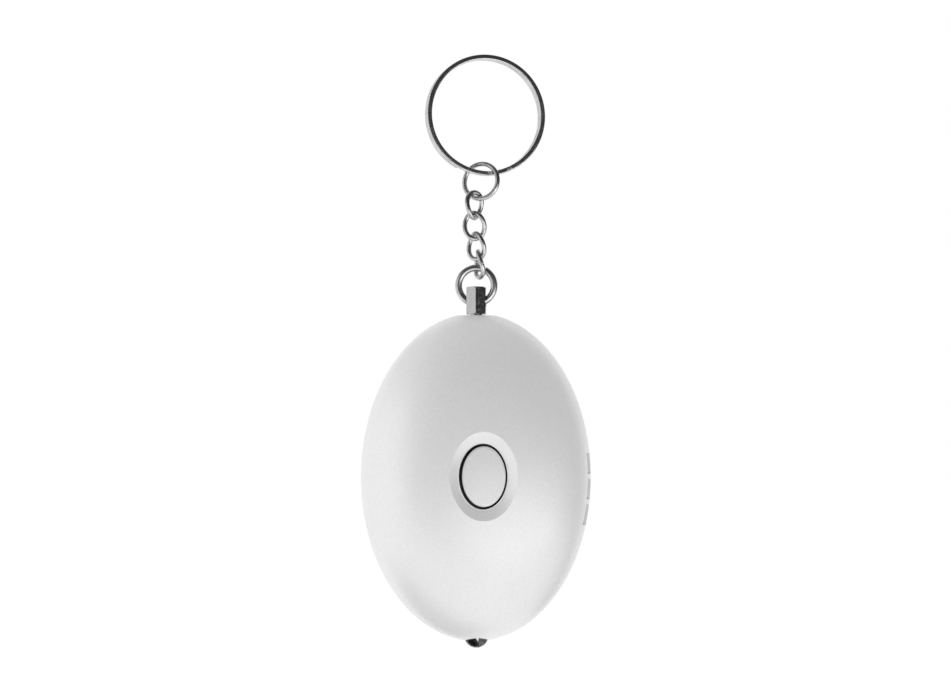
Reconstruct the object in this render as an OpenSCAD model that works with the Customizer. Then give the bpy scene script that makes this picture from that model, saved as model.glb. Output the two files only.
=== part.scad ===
// Personal safety alarm hanging from its key ring.
// Millimetres, +Z up, front of the case towards -Y, origin at the middle of the key ring.

/* [Case] */
// Width of the egg-shaped case, left to right
case_w = 47.6; // [46:0.2:52]
// Depth of the case, front to back
case_d = 26; // [25.5:0.5:30]
// Height of the case
case_h = 67.5; // [66:0.5:74]
// Wall of both shells
wall = 1.8; // [1.6:0.1:2]
// How far the flat seat of the pull pin lies below the top of the egg
seat_cut = 0.5; // [0.3:0.1:0.8]
// Height of the lip that locates the shells in each other
lip_h = 1.4; // [1:0.1:1.6]
// Thickness of that lip
lip_t = 0.9; // [0.7:0.1:1.1]
// Width and depth of the groove along the parting line
seam = 0.2; // [0.1:0.05:0.3]
// Clearance between pieces that slide or fit in each other
clear = 0.1; // [0.05:0.01:0.15]

/* [Button] */
// Width of the light button
button_w = 8.9; // [8.4:0.1:9.4]
// Height of the light button
button_h = 12.3; // [11.8:0.1:13]
// Open gap round the button
button_gap = 0.5; // [0.4:0.05:0.6]
// How far the face of the button stands out of the land round it
button_proud = 0.4; // [0.2:0.1:0.6]
// Travel of the button
button_travel = 0.5; // [0.3:0.1:0.6]
// Width of the dish round the button
dish_w = 14.1; // [13.6:0.1:15]
// Height of the dish round the button
dish_h = 18; // [17.4:0.1:19.5]
// Depth of the dish below the crown of the egg
dish_depth = 1.8; // [1.5:0.1:2]

/* [Sound openings] */
// Height of one side slot
slot_h = 4.25; // [3.5:0.25:5]
// Width of one side slot, front to back
slot_w = 2.1; // [1.6:0.1:2.4]
// Rib between two side slots
slot_rib = 1; // [0.8:0.1:1.5]
// How far the middle of the side slots lies below the middle of the case
slot_drop = 2.5; // [1:0.5:4]
// Width of a grille slot in the back
grille_w = 1.2; // [1:0.1:1.4]
// Pitch of the grille slots
grille_pitch = 2.6; // [2.4:0.1:2.8]
// Radius of the round field of grille slots
grille_r = 9; // [8:0.5:10]

/* [Pull pin] */
// Width of the hexagonal head across flats
head_af = 4; // [3.8:0.1:4.6]
// Height of the head
head_h = 5.7; // [5.4:0.1:7]
// Height of the cross hole above the lower end of the head
eye_h = 2.7; // [2.4:0.1:3]
// Diameter of the stem
stem_d = 2.5; // [2.2:0.1:2.7]
// Length of the stem
stem_l = 13; // [12:0.5:14]
// Turn of the pin about its own axis, in degrees
pin_turn = -11; // [-20:1:0]

/* [Rings and chain] */
// Outer diameter of the key ring
key_d = 25.2; // [24:0.2:30]
// Width of the key ring wire, across the ring
key_band = 1; // [0.9:0.05:1.2]
// Thickness of one coil of the key ring
key_coil = 1.3; // [1.1:0.05:1.4]
// Turn of the key ring about the vertical, in degrees
key_turn = 7; // [0:1:10]
// Outer diameter of the connector ring
connector_d = 8.4; // [8:0.1:9.4]
// Outer diameter of the pin ring
pin_ring_d = 8.8; // [8.4:0.1:9.6]
// Wire of the pin ring
pin_ring_wire = 1.45; // [1.3:0.05:1.5]
// Outer length of a chain link
link_l = 6.4; // [6.1:0.1:7.4]
// Outer width of a chain link
link_w = 5.1; // [4.9:0.1:5.8]
// Wire of the chain links and of the connector ring
link_wire = 1; // [0.8:0.05:1.1]
// Twist of a link from its middle to either end, in degrees
link_twist = 18; // [14:1:24]
// Gap between the two wire ends of a ring or link
wire_slit = 0.12; // [0.06:0.02:0.2]
// Play between two pieces of wire that hang in each other
wire_play = 0.1; // [0.05:0.05:0.2]

/* [Inner parts] */
// Diameter of a button cell
cell_d = 11.6; // [11:0.1:11.8]
// Length of a button cell
cell_l = 5.4; // [5:0.1:5.5]
// Diameter of the brass sounder disc
disc_d = 27; // [25:0.5:28]
// Diameter of the lamp
lamp_d = 5; // [4.6:0.1:5.2]
// How far the lamp stands out of the lower end of the egg
lamp_proud = 1.4; // [1:0.1:2]
// Width of the circuit board
board_w = 25; // [23:0.5:26]
// Thickness of the circuit board
board_t = 1.2; // [1:0.1:1.4]

/* [Hidden] */
$fn = 96;
big = 100;
silver = [0.78, 0.78, 0.79];
chrome = [0.72, 0.72, 0.74];
steel = [0.66, 0.67, 0.69];
brass = [0.78, 0.62, 0.30];
copper = [0.72, 0.42, 0.24];
dark = [0.10, 0.10, 0.11];
green = [0.12, 0.36, 0.20];
ceramic = [0.86, 0.85, 0.80];
foam = [0.20, 0.20, 0.21];
red = [0.70, 0.10, 0.08];
clear_resin = [0.85, 0.88, 0.90];

// How far a shape runs past what it cuts or joins
past = 1;

// Chain: turn about the vertical, sideways tilt and step along the wire above, link by link;
// the connector ring lies a little above the lowest place that it can hang at
link_turn = [39, -16, -49, -82];
link_tilt = [2, -6, -4, -4];
link_step = [-0.4, -0.15, -0.1, 0.2];
connector_turn = -30;
connector_tilt = 14;
connector_lift = 0.55;
pin_step = -0.75;
link_slit = [0, 180, 150, 0];
connector_slit = 215;
pin_ring_slit = 62;
loop_points = 48;
wire_sides = 10;
first_step = 0.2;
rest_step = 0.01;

// Key ring: the two wire ends either side of the lowest point, in degrees from it
key_end_left = 28;
key_end_right = 25;
coil_gap = 0.05;
key_pitch = key_coil + coil_gap;
key_edge = 0.25;
key_r = key_d / 2 - key_band / 2;
key_reach = norm([key_band / 2 - key_edge, key_coil / 2]);
key_step = key_end_left + key_end_right;
ramp_steps = 18;
ramp_lap = 1.5;
ramp_in = 0.02;

connector_r = (connector_d - link_wire) / 2;
pin_ring_r = (pin_ring_d - pin_ring_wire) / 2;

// Pull pin
head_edge = 0.3;
eye_low = pin_ring_r + pin_ring_wire / 2;
eye_high = sqrt(pow(pin_ring_r - pin_ring_wire / 2, 2) - pow(head_af / 2, 2));
eye_r = (eye_low - eye_high) / 2 + clear;
seat_gap = 0.25;
tip_l = 0.6;

// Case, measured from its own middle
seat_z = case_h / 2 - seat_cut;
land_y = case_d / 2 - dish_depth;
land_w = 0.1;
land_h = button_h + 2 * (button_gap + land_w);
dish_rim_y = case_d / 2 * sqrt(1 - pow(dish_h / case_h, 2));
dish_slope = (dish_h - land_h) / 2 / (dish_rim_y - land_y);
dish_cut = 2 * dish_depth;
collar_t = 1.8;
collar_edge = 1.6;
collar_back = land_y - collar_t;
flange_t = 0.9;
flange_over = 0.9;
button_edge = 0.35;

// The button sits this much to the right in its hole, which leaves its gap wider on the left
button_off = 0.15;

button_rest = 0.05;
button_back = collar_back - button_rest - flange_t;
button_face = land_y + button_proud;
slot_front = 4;
slot_pitch = slot_h + slot_rib;

// Screws
screw_inset = 7.3;
screw_x = case_w / 2 - screw_inset;
screw_top = 13;
screw_low = -12;
screw_d = 2;
screw_head_d = 3.8;
screw_head_h = 1.4;
screw_seat = 3;
screw_l = 7.5;
drive_w = 0.55;
drive_l = 2.4;
drive_deep = 0.7;
front_boss_r = 2.3;
boss_wall = 1.2;
rear_boss_r = screw_head_d / 2 + clear + boss_wall;
pilot_l = 5;

// Switch and board
plunger_d = 3.5;
plunger_spare = 0.4;
plunger_up = button_travel + plunger_spare;
plunger_in = 0.5;
switch_w = 6;
switch_t = 3.5;
switch_bore = plunger_in + button_travel + clear;
board_front = button_back - plunger_up - switch_t;
board_rear = board_front - board_t;
board_top = 20;
board_low = -9.4;
neck_w = 10;
neck_top = 27;
post_r = 1.5;
peg_r = 0.7;
peg_past = 0.2;
post_inset = 2.7;
post_x = board_w / 2 - post_inset;
post_top = 15.5;
post_low = -5.5;

// Pieces on the rear face of the board: x and z of the middle, then width, height and thickness
chip_at = [-6, 9];
chip_size = [5, 4, 1.6];
chip_legs = [4.2, 6, 0.3];
transistor_at = [-4, -2];
transistor_size = [4.5, 3.6, 3.6];
coil_at = [6.5, 0];
coil_r = 4;
coil_h = 5;
coil_rim = 0.8;

// Sounder
sounder_z = 4;
disc_t = 0.25;
ceramic_d = 20;
gasket_t = 0.5;
gasket_w = 1.2;
cup_seat = 4.5;
cup_rim = 1.1;
cup_wall = 0.75;
cup_r = disc_d / 2 + clear;
grille_count = floor(grille_r / grille_pitch);
solder_in = 1.8;
solder_run = 1.2;
sounder_lead_drop = 3;
disc_lead_up = 2;
ceramic_lead_up = 4;

// Cells, lengthways from left to right
cell_z = -16;
cell_count = 3;
cell_gap = 0.1;
cell_cap_d = 8.8;
cell_cap_l = 0.7;
cell_edge = 0.4;
stack_l = cell_count * cell_l;
saddle_x = 4.5;
saddle_t = 1.2;
saddle_low = -22.5;
saddle_high = -10.9;
leaf_t = 0.3;
leaf_w = 8;
leaf_h = 9;
leaf_bow = 1.4;
tail_w = 1.5;
tail_top = -6.6;
stop_t = 1.2;

// Lamp
lamp_tip = -case_h / 2 - lamp_proud;
lamp_l = 7.2;
lamp_flange = 0.4;
lamp_flange_t = 1;
lamp_back = lamp_tip + lamp_l;
lamp_pitch = 2.54;
tube_wall = 1.4;
wire_d = 0.8;
lead_run = 1.4;
lead_bend = 0.8;
lead_in = 2;

// Pin socket
socket_low = 27.5;
socket_r = 3;
contact_low = 21;
contact_h = 4.5;
contact_deep = 1.3;
contact_foot = 2.4;

// A point turned about Z, then tilted about Y
function turned(p, turn, tilt) =
  let (x = p.x * cos(turn) - p.y * sin(turn), y = p.x * sin(turn) + p.y * cos(turn))
  [x * cos(tilt) + p.z * sin(tilt), y, p.z * cos(tilt) - x * sin(tilt)];

function posed(loop, turn, tilt) = [for (p = loop) turned(p, turn, tilt)];
function moved(loop, v) = [for (p = loop) p + v];

// Centre lines: a round ring and a twisted oval link, both upright and starting at the right side
function ring_point(r, a) = [r * cos(a), 0, r * sin(a)];
function link_half_w() = (link_w - link_wire) / 2;
function link_half_l() = (link_l - link_wire) / 2;
function link_side(a) = let (t = -link_twist * sin(a)) [cos(t), sin(t), 0];
function link_point(a) = link_half_w() * cos(a) * link_side(a) + [0, 0, link_half_l() * sin(a)];
function link_out(a) = cos(a) / link_half_w() * link_side(a) + [0, 0, sin(a) / link_half_l()];
function ring_loop(r) = [for (i = [0:loop_points - 1]) ring_point(r, 360 * i / loop_points)];
function link_loop() = [for (i = [0:loop_points - 1]) link_point(360 * i / loop_points)];

function upper_half(loop) = [for (i = [0:loop_points / 2]) loop[i]];
function lower_half(loop) = [for (i = [loop_points / 2:loop_points]) loop[i % loop_points]];
function top_of(loop) = loop[loop_points / 4];
function low_of(loop) = loop[loop_points * 3 / 4];

// Least distance between two centre lines
function apart(a, b) = min([for (p = a) min([for (q = b) norm(p - q)])]);

// Lowest place of a loop hanging in another one with the distance need between their centre lines
function settle(up, low, need, at, step) =
  apart(up, moved(low, at)) < need
    ? settle(up, low, need, at + [0, 0, step], step)
    : step < rest_step ? at : settle(up, low, need, at - [0, 0, step / 2], step / 2);
function hung(up, low, need, side) =
  settle(lower_half(up), upper_half(low), need, low_of(up) - top_of(low) + [side, 0, need / 2],
    first_step);

// Centre line of the step between the two coils of the key ring, by degrees right of the lowest point
function key_back(a) = -key_pitch / 2 * cos(180 * (a + key_end_left) / key_step);
function key_point(a) = [key_r * sin(a), key_back(a), -key_r * cos(a)];
key_line = posed([for (a = [-key_end_left:key_end_right]) key_point(a)], key_turn, 0);

// The chain from the key ring down: each piece at rest on the one above
connector_loop = posed(ring_loop(connector_r), connector_turn, connector_tilt);
connector_need = key_reach + link_wire / 2 + wire_play;
connector_start = [0, 0, connector_need / 2 - key_r] - top_of(connector_loop);
connector_at = [0, 0, connector_lift]
  + settle(key_line, upper_half(connector_loop), connector_need, connector_start, first_step);
wire_need = link_wire + wire_play;
link_loops = [for (i = [0:3]) posed(link_loop(), link_turn[i], link_tilt[i])];
link_1_at = hung(moved(connector_loop, connector_at), link_loops[0], wire_need, link_step[0]);
link_2_at = hung(moved(link_loops[0], link_1_at), link_loops[1], wire_need, link_step[1]);
link_3_at = hung(moved(link_loops[1], link_2_at), link_loops[2], wire_need, link_step[2]);
link_4_at = hung(moved(link_loops[2], link_3_at), link_loops[3], wire_need, link_step[3]);
pin_ring_loop = posed(ring_loop(pin_ring_r), pin_turn, 0);
pin_need = (link_wire + pin_ring_wire) / 2 + wire_play;
pin_ring_at = hung(moved(link_loops[3], link_4_at), pin_ring_loop, pin_need, pin_step);
head_at = pin_ring_at - [0, 0, (eye_low + eye_high) / 2 + eye_h];
case_at = head_at - [0, 0, seat_gap + seat_z];

// Round wire along a line of points; outs are directions that are never along the line
module wire(points, outs, r) {
  last = len(points) - 1;
  rings = [
    for (i = [0:last])
      let (
        t = points[min(i + 1, last)] - points[max(i - 1, 0)],
        b = cross(t, outs[i]) / norm(cross(t, outs[i])),
        n = cross(b, t) / norm(t)
      )
      for (k = [0:wire_sides - 1])
        points[i] + r * (cos(360 * k / wire_sides) * n + sin(360 * k / wire_sides) * b)
  ];
  sides = [
    for (i = [0:last - 1])
      for (k = [0:wire_sides - 1])
        let (j = (k + 1) % wire_sides, a = i * wire_sides, c = a + wire_sides)
        for (face = [[a + k, c + k, c + j], [a + k, c + j, a + j]])
          face
  ];
  ends = [
    [for (k = [0:wire_sides - 1]) k],
    [for (k = [wire_sides - 1:-1:0]) last * wire_sides + k]
  ];
  polyhedron(points = rings, faces = concat(sides, ends), convexity = 4);
}

// Twisted oval link, open at the angle slit_at
module link(slit_at) {
  half = wire_slit / 2 / link_half_w() * 180 / PI;
  turn = (360 - 2 * half) / loop_points;
  angles = [for (i = [0:loop_points]) slit_at + half + i * turn];
  wire([for (a = angles) link_point(a)], [for (a = angles) link_out(a)], link_wire / 2);
}

module placed_link(i, at) {
  color(chrome)
    translate(at)
      rotate([0, link_tilt[i], 0])
        rotate([0, 0, link_turn[i]])
          link(link_slit[i]);
}

// Upright ring of round wire, open at the angle slit_at
module open_ring(r, wire_r, slit_at) {
  half = wire_slit / 2 / r * 180 / PI;
  rotate([90, 0, 0])
    rotate([0, 0, slit_at + half])
      rotate_extrude(angle = 360 - 2 * half)
        translate([r, 0])
          circle(wire_r, $fn = 32);
}

module chain_link_1() placed_link(0, link_1_at);
module chain_link_2() placed_link(1, link_2_at);
module chain_link_3() placed_link(2, link_3_at);
module chain_link_4() placed_link(3, link_4_at);

module connector_ring() {
  color(chrome)
    translate(connector_at)
      rotate([0, connector_tilt, 0])
        rotate([0, 0, connector_turn])
          open_ring(connector_r, link_wire / 2, connector_slit);
}

module pin_ring() {
  color(chrome)
    translate(pin_ring_at)
      rotate([0, 0, pin_turn])
        open_ring(pin_ring_r, pin_ring_wire / 2, pin_ring_slit);
}

// Section of the key ring wire round its own middle, drawn in by g all round
function key_section(g = 0) =
  let (b = key_band / 2 - g, c = key_coil / 2 - g, e = key_edge)
  [[-b, -c + e], [-b + e, -c], [b - e, -c], [b, -c + e], [b, c - e], [b - e, c], [-b + e, c], [-b, c - e]];

// Step of the key ring wire from the front coil to the rear coil, seen from the front with Y up;
// its two ends lie inside the coils
module key_ramp() {
  section = key_section(ramp_in);
  corners = len(section);
  start = 270 - key_end_left - ramp_lap;
  span = key_step + 2 * ramp_lap;
  rings = [
    for (i = [0:ramp_steps])
      let (a = start + span * i / ramp_steps, h = key_pitch / 2 * cos(180 * i / ramp_steps))
      for (p = section)
        [(key_r + p.x) * cos(a), (key_r + p.x) * sin(a), p.y + h]
  ];
  sides = [
    for (i = [0:ramp_steps - 1])
      for (k = [0:corners - 1])
        let (j = (k + 1) % corners, a = i * corners, c = a + corners)
        for (face = [[a + k, a + j, c + j], [a + k, c + j, c + k]])
          face
  ];
  ends = [
    [for (k = [corners - 1:-1:0]) k],
    [for (k = [0:corners - 1]) ramp_steps * corners + k]
  ];
  polyhedron(points = rings, faces = concat(sides, ends), convexity = 4);
}

module key_ring() {
  color(chrome)
    rotate([90, 0, key_turn]) {
      for (side = [-1, 1])
        rotate([0, 0, 270 + key_end_right])
          rotate_extrude(angle = 360 - key_step)
            translate([key_r, side * key_pitch / 2])
              polygon(key_section());
      key_ramp();
    }
}

// Hexagonal head with a cross hole, and the round stem that goes into the case
module pull_pin() {
  corner_r = head_af / sqrt(3);
  color(chrome)
    translate(head_at)
      rotate([0, 0, pin_turn])
        difference() {
          union() {
            intersection() {
              rotate([0, 0, 30])
                cylinder(r = corner_r, h = head_h, $fn = 6);
              rotate_extrude()
                polygon([
                  [0, 0],
                  [corner_r - head_edge, 0],
                  [corner_r, head_edge],
                  [corner_r, head_h - head_edge],
                  [corner_r - head_edge, head_h],
                  [0, head_h]
                ]);
            }
            rotate_extrude()
              polygon([
                [0, head_edge],
                [stem_d / 2, head_edge],
                [stem_d / 2, tip_l - stem_l],
                [stem_d / 2 - tip_l, -stem_l],
                [0, -stem_l]
              ]);
          }
          translate([-head_af, 0, eye_h])
            rotate([0, 90, 0])
              cylinder(r = eye_r, h = 2 * head_af);
        }
}

// The egg of the case, drawn in by g all round
module egg(g = 0) {
  scale([case_w / 2 - g, case_d / 2 - g, case_h / 2 - g])
    rotate([90, 0, 0])
      sphere(1);
}

module front_half() translate([-big, -big, -big]) cube([2 * big, big, 2 * big]);
module rear_half() translate([-big, 0, -big]) cube([2 * big, big, 2 * big]);

// Oval rod along Y from the depth back to the depth front, both towards the viewer
module oval_rod(w, h, back, front) {
  translate([0, -back, 0])
    rotate([90, 0, 0])
      scale([w / 2, h / 2, 1])
        cylinder(r = 1, h = front - back);
}

// Round rod along Y between the depths y0 and y1
module rod(r, x, z, y0, y1) {
  translate([x, y0, z])
    rotate([-90, 0, 0])
      cylinder(r = r, h = y1 - y0, $fn = 48);
}

module at_screws() {
  for (side = [-1, 1])
    for (z = [screw_top, screw_low])
      translate([side * screw_x, 0, z])
        children();
}

// Conical dish round the button, the land at its floor and the hole for the button
module button_opening() {
  translate([0, -land_y, 0])
    rotate([90, 0, 0])
      scale([dish_w / dish_h, 1, 1])
        cylinder(r1 = land_h / 2, r2 = land_h / 2 + dish_slope * dish_cut, h = dish_cut);
  oval_rod(button_w + 2 * button_gap, button_h + 2 * button_gap, collar_back - collar_t, case_d);
}

// Flat seat, pin hole and lamp hole, which both shells share
module end_openings() {
  translate([-big, -big, seat_z])
    cube([2 * big, 2 * big, big]);
  translate([0, 0, socket_low - past])
    cylinder(r = stem_d / 2 + clear, h = big, $fn = 48);
  translate([0, 0, -big])
    cylinder(r = lamp_d / 2 + clear, h = big + lamp_back - lamp_flange_t, $fn = 64);
}

// Tubes that guide the pin's stem and hold the lamp
module end_tubes(extra = 0) {
  translate([0, 0, socket_low])
    cylinder(r = socket_r + extra, h = big, $fn = 48);
  translate([0, 0, -big])
    cylinder(r = lamp_d / 2 + tube_wall + extra, h = big + lamp_back - lamp_flange_t - clear, $fn = 64);
}

// Ribs that carry the cells, hollowed to their round
module saddles() {
  difference() {
    for (side = [-1, 1])
      translate([side * saddle_x - saddle_t / 2, -big, saddle_low])
        cube([saddle_t, 2 * big, saddle_high - saddle_low]);
    translate([-big, 0, cell_z])
      rotate([0, 90, 0])
        cylinder(r = cell_d / 2 + clear, h = 2 * big);
  }
}

module side_slots() {
  for (i = [-1:1])
    translate([screw_x, -slot_front, -slot_drop + i * slot_pitch - slot_h / 2])
      cube([big, slot_w, slot_h]);
}

module board_posts() {
  for (side = [-1, 1])
    for (z = [post_top, post_low]) {
      rod(post_r, side * post_x, z, -big, -board_front);
      rod(peg_r, side * post_x, z, -board_front - past, -board_rear + peg_past);
    }
}

module front_shell() {
  color(silver)
    translate(case_at)
      difference() {
        union() {
          difference() {
            egg();
            egg(wall);
            rear_half();
          }
          intersection() {
            egg(wall / 2);
            front_half();
            union() {
              oval_rod(dish_w + 2 * collar_edge, dish_h + 2 * collar_edge, collar_back, case_d);
              board_posts();
              end_tubes();
              saddles();
              at_screws()
                rod(front_boss_r, 0, 0, -big, 0);
            }
          }
        }
        button_opening();
        end_openings();
        side_slots();
        at_screws()
          rod(screw_d / 2 + clear, 0, 0, -pilot_l, past);
        difference() {
          translate([-big, -seam, -big])
            cube([2 * big, big, 2 * big]);
          egg(seam);
        }
      }
}

// Ring of the rear shell that goes inside the rim of the front shell
module lip() {
  shrink = sqrt(1 - pow(lip_h / (case_d / 2 - wall), 2));
  w = (case_w - 2 * wall) * shrink - 2 * clear;
  h = (case_h - 2 * wall) * shrink - 2 * clear;
  difference() {
    union() {
      oval_rod(w, h, -lip_h, lip_h);
      oval_rod(case_w - wall, case_h - wall, -lip_h, 0);
    }
    oval_rod(w - 2 * lip_t, h - 2 * lip_t, -big, big);
    intersection() {
      front_half();
      union() {
        end_tubes(clear);
        at_screws()
          rod(front_boss_r + clear, 0, 0, -big, 0);
      }
    }
  }
}

// Cup that holds the sounder disc against the back wall
module sounder_cup() {
  translate([0, 0, sounder_z])
    difference() {
      rod(cup_r + cup_wall, 0, 0, cup_seat - cup_rim, big);
      rod(cup_r, 0, 0, -big, cup_seat);
      rod(disc_d / 2 - gasket_w, 0, 0, 0, 2 * big);
    }
}

module grille() {
  for (i = [-grille_count:grille_count]) {
    reach = sqrt(pow(grille_r, 2) - pow(i * grille_pitch, 2)) - grille_w / 2;
    translate([0, 0, sounder_z + i * grille_pitch])
      rotate([-90, 0, 0])
        linear_extrude(big) {
          square([2 * reach, grille_w], center = true);
          for (side = [-1, 1])
            translate([side * reach, 0])
              circle(grille_w / 2, $fn = 24);
        }
  }
}

// Walls behind the two cell contacts
module contact_stops() {
  for (x = [stack_l / 2 + leaf_t + 2 * clear, -stack_l / 2 - leaf_bow - leaf_t - 2 * clear - stop_t])
    translate([x, 0, cell_z - leaf_h / 2])
      cube([stop_t, big, leaf_h]);
}

module rear_shell() {
  color(silver)
    translate(case_at)
      difference() {
        union() {
          difference() {
            egg();
            egg(wall);
            front_half();
          }
          lip();
          intersection() {
            egg(wall / 2);
            rear_half();
            union() {
              sounder_cup();
              end_tubes();
              saddles();
              contact_stops();
              at_screws()
                rod(rear_boss_r, 0, 0, 0, big);
            }
          }
        }
        end_openings();
        grille();
        at_screws() {
          rod(screw_d / 2 + clear, 0, 0, -past, big);
          rod(screw_head_d / 2 + clear, 0, 0, screw_seat, big);
        }
      }
}

module case_screws() {
  color(steel)
    translate(case_at)
      at_screws()
        difference() {
          union() {
            rod(screw_d / 2, 0, 0, screw_seat - screw_l, screw_seat + screw_head_h / 4);
            rod(screw_head_d / 2, 0, 0, screw_seat, screw_seat + screw_head_h);
          }
          for (size = [[drive_l, drive_w], [drive_w, drive_l]])
            translate([-size.x / 2, screw_seat + screw_head_h - drive_deep, -size.y / 2])
              cube([size.x, 2 * drive_deep, size.y]);
        }
}

module light_button() {
  over = 2 * (button_gap + flange_over);
  color(silver)
    translate(case_at + [button_off, 0, 0]) {
      oval_rod(button_w + over, button_h + over, button_back, button_back + flange_t);
      rotate([90, 0, 0])
        scale([button_w / button_h, 1, 1])
          rotate_extrude()
            polygon([
              [0, button_back],
              [button_h / 2, button_back],
              [button_h / 2, button_face - button_edge],
              [button_h / 2 - button_edge, button_face],
              [0, button_face]
            ]);
    }
}

module switch_plunger() {
  color(dark)
    translate(case_at)
      rod(plunger_d / 2, 0, 0, -button_back, -button_back + plunger_up + plunger_in);
}

module push_switch() {
  top = board_front + switch_t;
  color(dark)
    translate(case_at)
      difference() {
        translate([-switch_w / 2, -top, -switch_w / 2])
          cube([switch_w, switch_t, switch_w]);
        rod(plunger_d / 2 + clear, 0, 0, -top - past, -top + switch_bore);
      }
}

module circuit_board() {
  color(green)
    translate(case_at)
      difference() {
        union() {
          translate([-board_w / 2, -board_front, board_low])
            cube([board_w, board_t, board_top - board_low]);
          translate([-neck_w / 2, -board_front, board_top - past])
            cube([neck_w, board_t, neck_top - board_top + past]);
        }
        for (side = [-1, 1])
          for (z = [post_top, post_low])
            rod(peg_r + clear, side * post_x, z, -board_front - past, -board_rear + past);
      }
}

// Block on the rear face of the board
module board_block(at, size) {
  translate([at.x - size.x / 2, -board_rear, at.y - size.y / 2])
    cube([size.x, size.z, size.y]);
}

module siren_chip() {
  color(dark)
    translate(case_at) {
      board_block(chip_at, chip_size);
      board_block(chip_at, chip_legs);
    }
}

// Drum core with its winding between two rims
module boost_coil() {
  low = -board_rear;
  high = low + coil_h;
  color(copper)
    translate(case_at)
      translate([coil_at.x, 0, coil_at.y]) {
        rod(coil_r, 0, 0, low, low + coil_rim);
        rod(coil_r - coil_rim / 2, 0, 0, low + coil_rim / 2, high - coil_rim / 2);
        rod(coil_r, 0, 0, high - coil_rim, high);
      }
}

module drive_transistor() {
  color(dark)
    translate(case_at)
      board_block(transistor_at, transistor_size);
}

module sounder_disc() {
  back = cup_seat - gasket_t;
  color(brass)
    translate(case_at)
      rod(disc_d / 2, 0, sounder_z, back - disc_t, back);
}

module sounder_ceramic() {
  back = cup_seat - gasket_t - disc_t;
  color(ceramic)
    translate(case_at)
      rod(ceramic_d / 2, 0, sounder_z, back - disc_t, back);
}

module sounder_gasket() {
  color(foam)
    translate(case_at)
      difference() {
        rod(disc_d / 2, 0, sounder_z, cup_seat - gasket_t, cup_seat);
        rod(disc_d / 2 - gasket_w, 0, sounder_z, 0, big);
      }
}

// Insulated wire through a list of points that lie about upright
module lead(points) wire(points, [for (p = points) [1, 0, 0]], wire_d / 2);

// From the board to the brass and to the ceramic of the sounder
module sounder_wires() {
  disc_front = cup_seat - gasket_t - disc_t;
  disc_end = [solder_in - disc_d / 2, disc_front, sounder_z + disc_lead_up];
  ceramic_end = [solder_in - ceramic_d / 2, disc_front - disc_t, sounder_z + ceramic_lead_up];
  color(red)
    translate(case_at)
      for (end = [disc_end, ceramic_end])
        lead([
          [end.x, -board_rear, end.z - sounder_lead_drop],
          [end.x, -board_rear + solder_run, end.z - sounder_lead_drop],
          [end.x, (end.y - board_rear) / 2, end.z - sounder_lead_drop / 2],
          [end.x, end.y - solder_run, end.z],
          end
        ]);
}

// Three cells end to end, plus ends to the right
module button_cells() {
  color(steel)
    translate(case_at)
      for (i = [0:cell_count - 1])
        translate([i * cell_l - stack_l / 2, 0, cell_z])
          rotate([0, 90, 0])
            rotate_extrude()
              polygon([
                [0, 0],
                [cell_cap_d / 2, 0],
                [cell_cap_d / 2, cell_cap_l],
                [cell_d / 2, cell_cap_l],
                [cell_d / 2, cell_l - cell_gap - cell_edge],
                [cell_d / 2 - cell_edge, cell_l - cell_gap],
                [0, cell_l - cell_gap]
              ]);
}

// Tab of a cell contact that is soldered to the rear face of the board
module contact_tail(x) {
  translate([x, -board_rear, cell_z + leaf_h / 2 - past])
    cube([leaf_t, tail_w, tail_top - cell_z - leaf_h / 2 + past]);
}

module plus_contact() {
  x = stack_l / 2;
  color(brass)
    translate(case_at) {
      translate([x, -leaf_w / 2, cell_z - leaf_h / 2])
        cube([leaf_t, leaf_w, leaf_h]);
      contact_tail(x);
    }
}

module minus_contact() {
  x = -stack_l / 2 - clear - leaf_bow;
  color(brass)
    translate(case_at) {
      translate([x - leaf_t, -leaf_w / 2, cell_z - leaf_h / 2])
        cube([leaf_t, leaf_w, leaf_h]);
      translate([0, 0, cell_z - leaf_h / 4])
        linear_extrude(leaf_h / 2)
          polygon([
            [x - leaf_t, -leaf_w / 2],
            [x, -leaf_w / 2],
            [x + leaf_bow, 0],
            [x, leaf_w / 2],
            [x - leaf_t, leaf_w / 2],
            [x + leaf_bow - leaf_t, 0]
          ]);
      contact_tail(x - leaf_t);
    }
}

// Clear lamp with a domed end and a flange
module lamp() {
  color(clear_resin)
    translate(case_at) {
      translate([0, 0, lamp_tip + lamp_d / 2])
        sphere(d = lamp_d);
      translate([0, 0, lamp_tip + lamp_d / 2])
        cylinder(d = lamp_d, h = lamp_l - lamp_d / 2);
      translate([0, 0, lamp_back - lamp_flange_t])
        cylinder(r = lamp_d / 2 + lamp_flange, h = lamp_flange_t);
    }
}

// From the back of the lamp, in front of the cells, to the front face of the board
module lamp_wires() {
  front = cell_d / 2 + lead_run;
  color(red)
    translate(case_at)
      for (side = [-1, 1])
        translate([side * lamp_pitch / 2, 0, 0])
          lead([
            [0, 0, lamp_back],
            [0, 0, lamp_back + lead_run],
            [0, -front / 2, lamp_back + 2 * lead_run],
            [0, lead_bend - front, cell_z - cell_d / 2 + lead_bend],
            [0, -front, cell_z - cell_d / 4],
            [0, -front, cell_z + cell_d / 4],
            [0, lead_bend - front, cell_z + cell_d / 2 - lead_bend],
            [0, -board_front - lead_bend, board_low + lead_in],
            [0, -board_front, board_low + lead_in]
          ]);
}

// Two leaf springs on the board, one either side of the stem
module pin_contacts() {
  color(brass)
    translate(case_at)
      for (side = [0, 1])
        mirror([side, 0, 0]) {
          translate([stem_d / 2 + clear, -board_rear, contact_low])
            cube([leaf_t, board_rear + contact_deep, contact_h]);
          translate([stem_d / 2 + clear, -board_rear, contact_low])
            cube([contact_foot, leaf_t, contact_h]);
        }
}

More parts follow.
